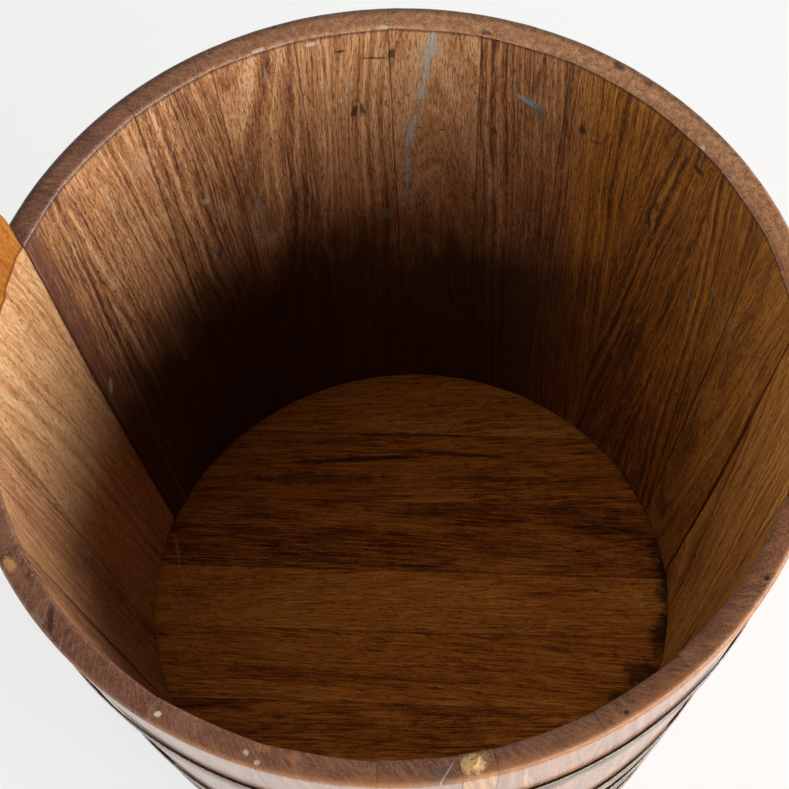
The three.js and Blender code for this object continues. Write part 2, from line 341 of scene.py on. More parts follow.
def mark(tree, surface, colour, ragged, place, size, turn, code, strength):
    """Lays one worn or dirty patch over a colour. place and size are on the surface, in mm, and turn in
    degrees; ragged is noise that roughens its outline. Returns the new colour and where the patch is."""
    spot = {"Vector": surface, "Location": (place[0] / 1000, place[1] / 1000, 0)}
    spot |= {"Rotation": (0, 0, math.radians(turn)), "Scale": (size[0] / 2000, size[1] / 2000, 1)}
    spot = add(tree, "Mapping", spot, vector_type="TEXTURE")
    away = add(tree, "VectorMath", [spot], "Value", operation="LENGTH")
    away = add(tree, "Math", [ragged, 1.8, away], operation="MULTIPLY_ADD")
    patch = {"Value": away, "From Min": 2.0, "From Max": 1.5, "To Max": strength}
    patch = add(tree, "MapRange", patch)
    mixed = {"Factor": patch, "A": colour, "B": linear(code)}
    return add(tree, "Mix", mixed, "Result", data_type="RGBA"), patch


WALL_RADIUS = 0.28
# Streaks of lime, scratches, smudges and soil on the wall: angle in degrees, height in mm, the mark's width
# and height in mm, turn, colour, strength
WALL_MARKS = [
    (76.2, 387, 30, 7, 22, "#8fa4a7", 0.9), (74.6, 381, 16, 14, 0, "#566060", 0.5),
    (75.4, 412, 6, 34, 8, "#2b221c", 0.6), (80.5, 420, 4, 20, 0, "#3a2a20", 0.5),
    (104.6, 360, 6, 15, 12, "#23160e", 0.85), (103.2, 361, 4, 17, -10, "#23160e", 0.8),
    (106.6, 373, 5, 7, 0, "#c0b3a2", 0.8), (104.8, 391, 3, 13, -12, "#b9aa96", 0.6),
    (106.0, 425, 9, 3, 0, "#24140c", 0.8), (110.0, 437, 10, 4, 0, "#d9c3a6", 0.8),
    (98.2, 417, 7, 12, 20, "#24150d", 0.8), (100.6, 414, 22, 3, 6, "#2c1a10", 0.7),
    (67.1, 379, 8, 10, 0, "#25150c", 0.8), (64.5, 374, 16, 3, -15, "#25150c", 0.6),
    (81.7, 346, 5, 8, 0, "#2c1a10", 0.7), (74.7, 435, 3, 9, 0, "#2c1a10", 0.7),
    (45.8, 422, 12, 7, 14, "#1e110a", 0.85), (94.4, 338, 7, 1.6, -4, "#24140c", 0.9),
    (90.6, 338, 6, 1.6, -4, "#24140c", 0.9), (83.0, 351, 6, 9, 0, "#23170f", 0.5),
    (122.9, 262, 4, 40, 2, "#948d83", 0.65), (123.2, 285, 6, 14, 6, "#948d83", 0.6),
    (100.8, 241, 18, 15, 20, "#8f8a7c", 0.65), (104.8, 243, 14, 1.6, 35, "#b4a48d", 0.7),
    (132.0, 318, 8, 8, 0, "#b5a99c", 0.6), (129.5, 291, 7, 11, 0, "#a2968a", 0.5),
    (112.5, 215, 6, 22, 0, "#8c857a", 0.6), (35.2, 335, 7, 7, 0, "#8b9188", 0.7),
    (39.8, 300, 6, 7, 0, "#7f857c", 0.6), (163.6, 239, 6, 18, 25, "#c4b59e", 0.75),
    (56.5, 278, 2, 70, -9, "#b08052", 0.7), (52.0, 330, 3, 24, -20, "#20120a", 0.8),
    (51.4, 352, 6, 12, 0, "#2a1a0f", 0.6), (92.6, 226, 18, 1.6, 8, "#a58f74", 0.6),
    (73.7, 345, 20, 1.8, -18, "#a98d70", 0.6), (95.2, 280, 1.6, 40, 0, "#a88f74", 0.5),
    (55.7, 363, 2, 16, 10, "#b08a60", 0.6), (50.2, 300, 2, 50, -4, "#a2784a", 0.6),
    (29.0, 330, 10, 26, 25, "#c4aa84", 0.25), (23.5, 335, 7, 12, 35, "#d6bc94", 0.3),
    (20.5, 260, 4, 40, 10, "#b8965f", 0.5), (117.0, 300, 1.8, 70, 3, "#c9a27a", 0.6),
    (86.0, 300, 1.6, 60, 2, "#b08457", 0.5), (140.5, 395, 26, 22, 0, "#c69a74", 0.4),
    (148.0, 380, 3, 44, 4, "#d2a780", 0.6), (152.0, 330, 3, 60, 3, "#cfa078", 0.5),
    (136.0, 300, 2.4, 60, -2, "#c09068", 0.5), (97.4, 256, 1.6, 34, 4, "#b7ab98", 0.6),
]
# The run of lime: height in metres, angle in degrees
LIME = [
    (0.230, 97.0), (0.2728, 96.6), (0.3123, 96.2), (0.3369, 95.4), (0.3676, 94.0), (0.4108, 92.6),
    (0.4426, 91.5),
]


def wall_marks(tree, here, colour, rough, height):
    """The wall's history: a dark heartwood band beside the left ear, a run of lime, knocks and scratches.
    Painted over it: shade that darkens the wall low at the back, and a tint of painted sheen and shade."""
    x, y, z = add(tree, "SeparateXYZ", [here], None).outputs
    angle = add(tree, "Math", [y, x], operation="ARCTAN2")
    degrees = add(tree, "Math", [angle, 180 / math.pi], operation="MULTIPLY")
    along = add(tree, "Math", [angle, WALL_RADIUS], operation="MULTIPLY")
    surface = add(tree, "CombineXYZ", [along, z])
    ragged = add(tree, "TexNoise", {"Vector": surface, "Scale": 210, "Detail": 5, "Roughness": 0.82})
    slow = add(tree, "TexNoise", {"Vector": surface, "Scale": 24, "Detail": 3})
    heart = add(tree, "Math", [slow, 5.0, degrees], operation="MULTIPLY_ADD")
    heart = add(tree, "Math", [ragged, 2.6, heart], operation="MULTIPLY_ADD")
    heart = add(tree, "MapRange", {"Value": heart, "From Min": 165.4, "From Max": 165.8})
    # Painted shade: the wall darkens towards the floor at the back, and the shade's edge runs up some fibres
    streak = add(tree, "Mapping", {"Vector": surface, "Scale": (62, 4, 1)})
    streak = add(tree, "TexNoise", {"Vector": streak, "Scale": 1, "Detail": 3, "Roughness": 0.6})
    low_shade = add(tree, "Math", [slow, 0.07, z], operation="MULTIPLY_ADD")
    low_shade = add(tree, "Math", [streak, -0.10, low_shade], operation="MULTIPLY_ADD")
    low_shade = {"Value": low_shade, "From Min": 0.268, "From Max": 0.158, "To Max": 0.88}
    low_shade = add(tree, "MapRange", low_shade, interpolation_type="SMOOTHSTEP")
    for begin, end in ((42, 78), (182, 150)):
        window = {"Value": degrees, "From Min": begin, "From Max": end}
        window = add(tree, "MapRange", window, interpolation_type="SMOOTHSTEP")
        low_shade = add(tree, "Math", [low_shade, window], operation="MULTIPLY")
    # Painted sheen and shade: the back and left tinted paler and bluer, the shaded right yellower
    sheen_and_shade_tint = add(tree, "Math", [degrees], operation="ABSOLUTE")
    sheen_and_shade_tint = {"Value": sheen_and_shade_tint, "From Min": 62, "From Max": 74}
    sheen_and_shade_tint = add(tree, "MapRange", sheen_and_shade_tint, interpolation_type="SMOOTHSTEP")
    sheen_and_shade_tint = {"Factor": sheen_and_shade_tint, "A": (1.03, 0.97, 0.32, 1), "B": (1.12, 1.26, 1.7, 1)}
    sheen_and_shade_tint = add(tree, "Mix", sheen_and_shade_tint, "Result", data_type="RGBA")
    deep = add(tree, "Math", [heart, 0.45], operation="MULTIPLY")
    # The run of lime follows a curve down the wall, and its width wanders
    run = add(tree, "FloatCurve", {"Value": z}, None)
    points = run.mapping.curves[0].points
    while len(points) < len(LIME):
        points.new(0.5, 0.5)
    for point, (level, place) in zip(points, LIME):
        point.location = (level, place / 100)
    run.mapping.update()
    off = add(tree, "Math", [run.outputs[0], -100, degrees], operation="MULTIPLY_ADD")
    off = add(tree, "Math", [slow, 1.2, off], operation="MULTIPLY_ADD")
    off = add(tree, "Math", [ragged, 2.4, off], operation="MULTIPLY_ADD")
    off = add(tree, "Math", [off, 1.8], operation="SUBTRACT")
    off = add(tree, "Math", [off], operation="ABSOLUTE")
    broad = add(tree, "TexNoise", {"W": z, "Scale": 23, "Detail": 3}, noise_dimensions="1D")
    broad = {"Value": broad, "From Min": 0.42, "From Max": 0.60, "To Min": 0.3, "To Max": 1.9}
    broad = add(tree, "MapRange", broad)
    half = {"Value": z, "From Min": 0.24, "From Max": 0.44, "To Min": 0.24, "To Max": 0.68}
    half = add(tree, "MapRange", half)
    broad = add(tree, "Math", [broad, half], operation="MULTIPLY")
    off = add(tree, "Math", [off, broad], operation="DIVIDE")
    grit = add(tree, "TexNoise", {"Vector": surface, "Scale": 700, "Detail": 3, "Roughness": 0.7})
    off = add(tree, "Math", [grit, 4.2, off], operation="MULTIPLY_ADD")
    lime = add(tree, "MapRange", {"Value": off, "From Min": 3.2, "From Max": 2.5, "To Max": 0.9})
    end = add(tree, "MapRange", {"Value": z, "From Min": 0.235, "From Max": 0.245})
    lime = add(tree, "Math", [lime, end], operation="MULTIPLY")
    height = add(tree, "Math", [lime, 1, height], operation="MULTIPLY_ADD")
    # Darker in a thin ragged line just under the rim's rounded lip
    lip = add(tree, "Math", [ragged, 0.006, z], operation="MULTIPLY_ADD")
    lip = add(tree, "MapRange", {"Value": lip, "From Min": 0.4425, "From Max": 0.4445, "To Max": 0.65})
    # The tint and the dark low band mixed in here are painted sheen and painted shade
    for amount, over, blend in (
        (1, sheen_and_shade_tint, "MULTIPLY"),
        (heart, (0.68, 0.57, 0.62, 1), "MULTIPLY"),
        (deep, linear("#70452f"), "MIX"),
        (low_shade, linear("#130c07"), "MIX"),
        (lime, linear("#c3bfb2"), "MIX"),
        (lip, linear("#24140c"), "MIX"),
    ):
        mixed = {"Factor": amount, "A": colour, "B": over}
        colour = add(tree, "Mix", mixed, "Result", data_type="RGBA", blend_type=blend)
    for place, level, width, tall, turn, code, strength in WALL_MARKS:
        at = (math.radians(place) * WALL_RADIUS * 1000, level)
        colour, _ = mark(tree, surface, colour, ragged, at, (width, tall), turn, code, strength)
    return colour, rough, height


RIM_MIDDLE = 0.29
# Knocks on the rim: angle in degrees, then radius, length along the rim and depth across it in mm, turn,
# colour, strength
RIM_MARKS = [
    (-114.5, 291.5, 5, 5, 0, "#ecdfce", 0.95), (-101.7, 290.7, 4.6, 4.6, 0, "#e0cfba", 0.8),
    (-99.9, 295.0, 4, 4, 0, "#e0cfba", 0.8), (-141.3, 283.2, 3, 3, 0, "#c98a4c", 0.8),
    (-100.0, 284.2, 14, 7, 10, "#c07a3a", 0.6), (-95.7, 285.8, 11, 7, -10, "#c07a3a", 0.6),
    (-144.2, 293.0, 13, 8, 0, "#f0b468", 0.95), (-142.8, 293.4, 26, 14, 0, "#a9713f", 0.5),
    (-76.0, 294.5, 22, 15, 20, "#574c48", 0.5), (-75.7, 293.8, 1.2, 26, 38, "#d5c3b0", 0.55),
    (-134.5, 290.0, 26, 5, 38, "#2a1b14", 0.75), (-135.5, 296.0, 12, 3, 0, "#b9a48e", 0.4),
    (114.6, 296.5, 4.4, 4.4, 0, "#1d120c", 0.9), (-24.3, 293.5, 4, 4, 0, "#1d120c", 0.9),
    (-50.8, 292.8, 4, 4, 0, "#1d120c", 0.9), (64.2, 293.4, 11, 5, 10, "#2c1b12", 0.7),
    (59.4, 293.1, 10, 5, -10, "#2c1b12", 0.6), (46.4, 281.5, 4, 3, 0, "#e3d9ca", 0.9),
    (99.0, 281.5, 14, 3, 0, "#d8c2a8", 0.7), (118.0, 281.5, 10, 3, 0, "#d8c2a8", 0.6),
    (146.0, 284.5, 26, 6, 0, "#7d5a48", 0.5), (84.0, 283.0, 12, 3, 0, "#25160e", 0.6),
    (-60.5, 291.0, 16, 9, 12, "#6a4632", 0.5),
]


def rim_marks(tree, here, colour, rough, height):
    """The top was planed by hand at a slant, and shows it. Sanding and hands have taken the lacquer off the
    back half and off the outer edge in front."""
    x, y, _ = add(tree, "SeparateXYZ", [here], None).outputs
    angle = add(tree, "Math", [y, x], operation="ARCTAN2")
    along = add(tree, "Math", [angle, RIM_MIDDLE], operation="MULTIPLY")
    radius = add(tree, "VectorMath", [here, (1, 1, 0)], operation="MULTIPLY")
    radius = add(tree, "VectorMath", [radius], "Value", operation="LENGTH")
    surface = add(tree, "CombineXYZ", [along, radius])
    ragged = add(tree, "TexNoise", {"Vector": surface, "Scale": 230, "Detail": 4, "Roughness": 0.7})
    slow = add(tree, "TexNoise", {"Vector": surface, "Scale": 34, "Detail": 3})
    grit = add(tree, "TexNoise", {"Vector": surface, "Scale": 620, "Detail": 3, "Roughness": 0.7})
    # Plane marks 1.5 mm apart
    slant = add(tree, "Mapping", {"Vector": surface, "Rotation": (0, 0, math.radians(42))})
    slant = add(tree, "Mapping", {"Vector": slant, "Scale": (660, 60, 1)})
    hatch = add(tree, "TexNoise", {"Vector": slant, "Scale": 1, "Detail": 2})
    pale = add(tree, "MapRange", {"Value": hatch, "From Min": 0.50, "From Max": 0.66, "To Max": 0.4})
    height = add(tree, "Math", [hatch, 1.2, height], operation="MULTIPLY_ADD")
    height = add(tree, "Math", [grit, 1.6, height], operation="MULTIPLY_ADD")
    # The back half is sanded orange-brown, and grainy, with blotches 5 mm wide
    around = add(tree, "Math", [angle, math.radians(-62)], operation="ADD")
    around = add(tree, "Math", [around], operation="COSINE")
    sanded = add(tree, "Math", [grit, 1.6, around], operation="MULTIPLY_ADD")
    sanded = add(tree, "MapRange", {"Value": sanded, "From Min": 0.9, "From Max": 1.9, "To Max": 0.8})
    blotch = add(tree, "TexNoise", {"Vector": surface, "Scale": 200, "Detail": 4, "Roughness": 0.75})
    blotch = add(tree, "MapRange", {"Value": blotch, "From Min": 0.38, "From Max": 0.62})
    orange = {"Factor": blotch, "A": linear("#ad7044"), "B": linear("#f4b680")}
    orange = add(tree, "Mix", orange, "Result", data_type="RGBA")
    # The outer edge is worn to orange wood, widest 65 degrees clockwise of the right ear
    front = add(tree, "Math", [angle, math.radians(65)], operation="ADD")
    front = add(tree, "Math", [front], operation="COSINE")
    worn = add(tree, "Math", [front, 0.013, radius], operation="MULTIPLY_ADD")
    worn = add(tree, "Math", [slow, 0.014, worn], operation="MULTIPLY_ADD")
    worn = add(tree, "Math", [grit, 0.009, worn], operation="MULTIPLY_ADD")
    worn = add(tree, "MapRange", {"Value": worn, "From Min": 0.3147, "From Max": 0.3205, "To Max": 0.62})
    # Beside the right ear, the rim is darkened and browned: painted shade
    ear_side_shade = add(tree, "Math", [angle, math.radians(12)], operation="ADD")
    ear_side_shade = add(tree, "Math", [ear_side_shade], operation="COSINE")
    ear_side_shade = add(tree, "MapRange", {"Value": ear_side_shade, "From Min": 0.6, "From Max": 0.85})
    # Dirt has gathered in pinholes, and along the outer edge behind
    holes = add(tree, "MapRange", {"Value": grit, "From Min": 0.42, "From Max": 0.33, "To Max": 0.6})
    dirt = add(tree, "MapRange", {"Value": radius, "From Min": 0.2915, "From Max": 0.2970, "To Max": 1.3})
    behind = add(tree, "MapRange", {"Value": front, "From Min": 0, "From Max": -0.4})
    dirt = add(tree, "Math", [dirt, behind], operation="MULTIPLY")
    dirt = add(tree, "Math", [ragged, dirt], operation="MULTIPLY")
    for amount, over, blend in (
        (pale, linear("#b5846a"), "MIX"),
        (sanded, orange, "MIX"),
        (worn, linear("#ad7441"), "MIX"),
        (ear_side_shade, (0.89, 0.83, 0.67, 1), "MULTIPLY"),
        (holes, linear("#3c2215"), "MIX"),
        (dirt, linear("#20140d"), "MIX"),
    ):
        mixed = {"Factor": amount, "A": colour, "B": over}
        colour = add(tree, "Mix", mixed, "Result", data_type="RGBA", blend_type=blend)
    for place, from_centre, width, deep, turn, code, strength in RIM_MARKS:
        at = (math.radians(place) * RIM_MIDDLE * 1000, from_centre)
        colour, _ = mark(tree, surface, colour, ragged, at, (width, deep), turn, code, strength)
    return colour, rough, height


# Oiled inside: brown, with a low sheen, a little dust and many streaks scraped pale
INSIDE = teak(
    "oiled_teak_inside",
    ["#3c1b0a", "#6d3a18", "#a1632f", "#bd7d44", "#d59c62"],
    {"roughness": 0.46, "bump": 1.0, "dust": 0.07, "scraped": 0.55, "specular": 0.6, "grime": 0.55},
    wall_marks,
)
# Cut ends on the rim: lacquered over, redder and darker
ENDS = teak(
    "lacquered_teak_ends",
    ["#4a2618", "#6c402b", "#85543a", "#946146", "#a87757"],
    {"roughness": 0.34, "bump": 0.45, "coat": 0.15, "coat_roughness": 0.3, "grime": 0.35, "figure": 0.16},
    rim_marks,
)
# Varnished outside: a clear glossy film over the same wood
OUTSIDE = teak(
    "varnished_teak_outside",
    ["#553019", "#7b4e33", "#956441", "#a6764e", "#bb8d64"],
    {"roughness": 0.3, "bump": 0.3, "coat": 0.55, "coat_roughness": 0.13, "grime": 0.3, "figure": 0.2},
)


def dress(stave, top, inside, ends, outside):
    """Inside, ends and outside each take their own finish, told apart by where a face looks."""
    for material in (inside, ends, outside):
        stave.data.materials.append(material)
    for face in stave.data.polygons:
        centre, normal = face.center, face.normal
        around = Vector((centre.x, centre.y, 0)).normalized()
        on_edge = centre.z > top - OUTER_ROUND - 0.001 and normal.z > 0.1 and normal.dot(around) > -0.6
        if normal.z > 0.55 or on_edge:
            face.material_index = 1
        elif normal.dot(around) > 0.3:
            face.material_index = 2


random.seed(12)
runs = []
left_from = 180 - EAR_OFF_AXIS + EAR_WIDTH / 2
right_from = EAR_OFF_AXIS + EAR_WIDTH / 2
for side, shares, begin, end in (
    ("back", BACK_SHARES, left_from - EAR_WIDTH, right_from),
    ("front", FRONT_SHARES, right_from - EAR_WIDTH, left_from - 360),
):
    start = begin
    for i, share in enumerate(shares):
        width = (begin - end) * share / sum(shares)
        is_closing = side == "front" and i == CLOSING
        node = "closing_stave" if is_closing else f"{side}_stave_{i + 1:02d}"
        runs.append((node, start - width / 2, width))
        start -= width

# How pale each plank came, and how its growth rings stand to its face in degrees
TONES = {
    "back_stave_01": (0.38, 70), "back_stave_02": (0.62, 60), "back_stave_03": (0.50, 80),
    "back_stave_04": (0.58, 25), "back_stave_05": (0.76, 80), "back_stave_06": (0.79, 10),
    "back_stave_07": (0.53, 75), "back_stave_08": (0.55, 85), "back_stave_09": (0.39, 60),
    "back_stave_10": (0.47, 70), "back_stave_11": (0.54, 35), "front_stave_12": (0.68, 60),
    "front_stave_11": (0.66, 75),
}
for node, middle, degrees in runs:
    if node == "closing_stave":
        continue
    tone, cut = TONES.get(node, (random.uniform(0.42, 0.6), random.uniform(20, 85)))
    width = math.radians(degrees) * RIM_RADIUS - JOINT
    stave = flat_blank(node + "_wood", width, RIM_HEIGHT)
    ease_edges()
    proud, twist = random.uniform(-2e-4, 2e-4), random.uniform(-2.5e-4, 2.5e-4)
    set_in_tub(stave, math.radians(middle), width, RIM_HEIGHT, 1, cut, tone, proud, twist)
    dress(stave, RIM_HEIGHT, INSIDE, ENDS, OUTSIDE)
    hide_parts(node)
    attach(stave, "root")

# ------------------------------------------------------------------ closing stave
# The last stave to go in, a narrow strip of paler wood driven between its neighbours to close the ring. A
# lump of amber filler has been left on its top end.
CLOSING_WOOD = ["#6b3d1c", "#96602f", "#b47b43", "#c58f55", "#d3a56b"]
LUMP_FROM_CENTRE = 0.289
LUMP_OFF_MIDDLE = -0.4
AMBER_OFF_MIDDLE = -0.9
LUMP_RADIUS = 0.0075
LUMP_HEIGHT = 0.0018
node, middle, degrees = next(run for run in runs if run[0] == "closing_stave")
lump_at, amber_at = [
    Vector((LUMP_FROM_CENTRE * math.cos(angle), LUMP_FROM_CENTRE * math.sin(angle), 0))
    for angle in (math.radians(middle + LUMP_OFF_MIDDLE), math.radians(middle + AMBER_OFF_MIDDLE))
]


def filler(tree, here, colour, rough, height):
    """The rim's planing and dirt, and over them the filler, set as a rough amber crust 15 mm long."""
    colour, rough, height = rim_marks(tree, here, colour, rough, height)
    ragged = add(tree, "TexNoise", {"Vector": here, "Scale": 260, "Detail": 4, "Roughness": 0.7})
    flat = add(tree, "VectorMath", [here, (1, 1, 0)], operation="MULTIPLY")
    colour, patch = mark(tree, flat, colour, ragged, amber_at.xy * 1000, (17, 14), 18, "#ffcd8a", 0.95)
    crust = add(tree, "TexNoise", {"Vector": here, "Scale": 480, "Detail": 3})
    cracks = add(tree, "MapRange", {"Value": crust, "From Min": 0.46, "From Max": 0.36})
    cracks = add(tree, "Math", [cracks, patch], operation="MULTIPLY")
    mixed = {"Factor": cracks, "A": colour, "B": linear("#c08f4e")}
    colour = add(tree, "Mix", mixed, "Result", data_type="RGBA")
    crust = add(tree, "Math", [crust, patch], operation="MULTIPLY")
    height = add(tree, "Math", [crust, 4, height], operation="MULTIPLY_ADD")
    return colour, rough, height


CLOSING_FACE = teak(
    "oiled_pale_teak", CLOSING_WOOD, {"roughness": 0.5, "bump": 0.5, "dust": 0.1, "specular": 0.4}
)
CLOSING_END = teak(
    "lacquered_teak_closing_end",
    ["#54301e", "#7b4c32", "#9a6645", "#ab7753", "#be8d66"],
    {"roughness": 0.34, "bump": 0.5, "coat": 0.15, "coat_roughness": 0.3, "grime": 0.2, "figure": 0.16},
    filler,
)
CLOSING_OUTSIDE = teak(
    "varnished_pale_teak", CLOSING_WOOD, {"roughness": 0.3, "bump": 0.3, "coat": 0.4, "coat_roughness": 0.14}
)
width = math.radians(degrees) * RIM_RADIUS - JOINT
closing = flat_blank("closing_stave_wood", width, RIM_HEIGHT)
ease_edges()
slice_at(0, [-0.0010 * n for n in range(5, 17)])
slice_at(1, [0.0010 * n for n in range(-9, 10)])
set_in_tub(closing, math.radians(middle), width, RIM_HEIGHT, 1, 70, 0.5, 1e-4, 0)
for vertex in closing.data.vertices:
    if vertex.co.z > RIM_HEIGHT - 0.002:
        away = vertex.co - lump_at
        away.z = 0
        swell = max(0, 1 - (away.length / LUMP_RADIUS) ** 2 + 0.35 * noise.noise(vertex.co * 320))
        vertex.co.z += LUMP_HEIGHT * min(1, swell) * (0.75 + 0.5 * noise.noise(vertex.co * 700))
dress(closing, RIM_HEIGHT, CLOSING_FACE, CLOSING_END, CLOSING_OUTSIDE)
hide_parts(node)
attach(closing, "root")

# ------------------------------------------------------------------ ears
# Two wider staves rise 80 mm above the rim as carrying ears, with round shoulders and a hand hole bored
# and sawn through. They are hollowed a little inside, and above the rim they wear a bright amber varnish.
EAR_TOP = 0.525
EAR_STRAIGHT = 0.025
SHOULDER_ACROSS = 0.045
SHOULDER_UP = EAR_TOP - RIM_HEIGHT - EAR_STRAIGHT
HAND_HOLE_LENGTH = 0.090
HAND_HOLE_HEIGHT = 0.030
HAND_HOLE_CENTRE = RIM_HEIGHT + 0.038


def ear_varnish(tree, here, colour, rough, height):
    """The amber varnish starts just below the rim, along a brushed, uneven edge where it dried darker."""
    up = add(tree, "SeparateXYZ", [here], "Z")
    ragged = add(tree, "TexNoise", {"Vector": here, "Scale": 45, "Detail": 4})
    line = add(tree, "Math", [ragged, 0.014, up], operation="MULTIPLY_ADD")
    coated = add(tree, "MapRange", {"Value": line, "From Min": 0.4485, "From Max": 0.4500})
    inner = add(tree, "MapRange", {"Value": line, "From Min": 0.4500, "From Max": 0.4535})
    amber = {"Factor": 0.95, "A": colour, "B": linear("#cfa252")}
    amber = add(tree, "Mix", amber, "Result", data_type="RGBA", blend_type="MULTIPLY")
    amber = add(tree, "Mix", {"Factor": 0.22, "A": amber, "B": linear("#cc8a3a")}, "Result", data_type="RGBA")
    dried = {"Factor": inner, "A": linear("#8a3f10"), "B": amber}
    dried = add(tree, "Mix", dried, "Result", data_type="RGBA")
    colour = add(tree, "Mix", {"Factor": coated, "A": colour, "B": dried}, "Result", data_type="RGBA")
    gloss = add(tree, "Math", [coated, -0.55, 1], operation="MULTIPLY_ADD")
    rough = add(tree, "Math", [rough, gloss], operation="MULTIPLY")
    return colour, rough, height


def ear_inside(tree, here, colour, rough, height):
    """Inside, the right ear takes the same painted shade tint as the wall beside it, yellow-brown."""
    x = add(tree, "SeparateXYZ", [here], "X")
    right = add(tree, "MapRange", {"Value": x, "From Min": 0, "From Max": 0.1})
    oiled = {"Factor": right, "A": colour, "B": (1.0, 0.92, 0.42, 1)}
    colour = add(tree, "Mix", oiled, "Result", data_type="RGBA", blend_type="MULTIPLY")
    return ear_varnish(tree, here, colour, rough, height)


EAR_INSIDE = teak(
    "oiled_teak_ear",
    ["#653518", "#a0643a", "#ca8c58", "#dea66e", "#ecbd8a"],
    {"roughness": 0.42, "bump": 0.8, "dust": 0.05, "scraped": 0.4, "grime": 0.3},
    ear_inside,
)
EAR_OUTSIDE = teak(
    "varnished_teak_ear",
    ["#5e3219", "#8a5633", "#a9724a", "#bb845a", "#cc9a70"],
    {"roughness": 0.28, "bump": 0.3, "coat": 0.5, "coat_roughness": 0.13},
    ear_varnish,
)
width = math.radians(EAR_WIDTH) * RIM_RADIUS - JOINT
blank = flat_blank("ear_blank", width, EAR_TOP)
slice_at(2, [RIM_HEIGHT])
# The shoulders are taller than wide, so they are rounded while the blank is squashed, and stretched back
squash = SHOULDER_ACROSS / SHOULDER_UP
bpy.ops.mesh.select_all(action="SELECT")
bpy.ops.transform.resize(value=(1, 1, squash), center_override=(0, 0, 0))
at_corner = (width / 2.1) ** 2
pick("edges", lambda e: all_near(e, 2, EAR_TOP * squash) and e.verts[0].co.y * e.verts[1].co.y > at_corner)
round_off(SHOULDER_ACROSS, 14)
bpy.ops.mesh.select_all(action="SELECT")
bpy.ops.transform.resize(value=(1, 1, 1 / squash), center_override=(0, 0, 0))
bpy.ops.object.mode_set(mode="OBJECT")
bpy.ops.mesh.primitive_cube_add(size=1, location=(-WALL / 2, 0, HAND_HOLE_CENTRE))
cutter = bpy.context.object
cutter.scale = (3 * WALL, HAND_HOLE_LENGTH, HAND_HOLE_HEIGHT)
bpy.ops.object.transform_apply()
bpy.ops.object.mode_set(mode="EDIT")
pick("edges", lambda e: abs(e.verts[0].co.x - e.verts[1].co.x) > WALL)
round_off(HAND_HOLE_HEIGHT / 2 - 1e-5, 10)
bpy.ops.object.mode_set(mode="OBJECT")
only(blank)
hole = blank.modifiers.new("hand_hole", "BOOLEAN")
hole.object = cutter
bpy.ops.object.modifier_apply(modifier="hand_hole")
bpy.data.objects.remove(cutter)
bpy.ops.object.mode_set(mode="EDIT")
ease_edges()
bpy.ops.object.mode_set(mode="OBJECT")
for side, from_angle, tone, cut in (("left", left_from, 0.76, 48), ("right", right_from, 0.46, 35)):
    ear = copy_of(blank, f"{side}_ear_wood")
    bpy.ops.object.mode_set(mode="EDIT")
    set_in_tub(ear, math.radians(from_angle - EAR_WIDTH / 2), width, EAR_TOP, 0.7, cut, tone, 0, 0)
    dress(ear, EAR_TOP, EAR_INSIDE, EAR_OUTSIDE, EAR_OUTSIDE)
    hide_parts(f"{side}_ear_stave")
    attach(ear, "root")
bpy.data.objects.remove(blank)

# ------------------------------------------------------------------ floor
# Seven boards of the same teak, glued edge to edge over blind dowels and turned to a disc. A rebate cut
# round both faces leaves a tongue, which the staves' groove holds.
FLOOR_BOTTOM = 0.025
TONGUE_LOW = 0.032
TONGUE_HIGH = 0.042
FLOOR_TOP = 0.043
FIT = 0.0003
BOARD_WIDTHS = [61.5, 60, 60, 52, 61, 62, 62]
BOARD_ANGLE = 5
DOWEL_RADIUS = 0.004
DOWEL_LENGTH = 0.036
DOWEL_SPREAD = 0.55
BOARD_EASE = 0.00025
BOARD_FACET = 0.012
BOARD_STRIP = 0.0012
# How pale each board is, and how its growth rings stand to its face in degrees
BOARD_LOOKS = [(0.66, 80), (0.46, 70), (0.31, 14), (0.60, 60), (0.46, 75), (0.36, 65), (0.32, 80)]


def flat_radius(z):
    """How far the flat middle of a stave's inner face is from the tub's axis."""
    return outer_radius(z) - WALL


def turned(name, sides, rings):
    """A turned solid, from a disc that is drawn up ring by ring: each ring is a height and a radius."""
    bpy.ops.object.select_all(action="DESELECT")
    low, radius = rings[0]
    bpy.ops.mesh.primitive_circle_add(vertices=sides, radius=radius, fill_type="NGON", location=(0, 0, low))
    made = bpy.context.object
    made.name = made.data.name = name
    bpy.ops.object.transform_apply()
    bpy.ops.object.mode_set(mode="EDIT")
    for height, next_radius in rings[1:]:
        bpy.ops.mesh.extrude_region_move(TRANSFORM_OT_translate={"value": (0, 0, height - low)})
        size = next_radius / radius
        bpy.ops.transform.resize(value=(size, size, 1), center_override=(0, 0, height))
        low, radius = height, next_radius
    bpy.ops.mesh.select_all(action="SELECT")
    bpy.ops.mesh.normals_make_consistent(inside=False)
    bpy.ops.object.mode_set(mode="OBJECT")
    return made


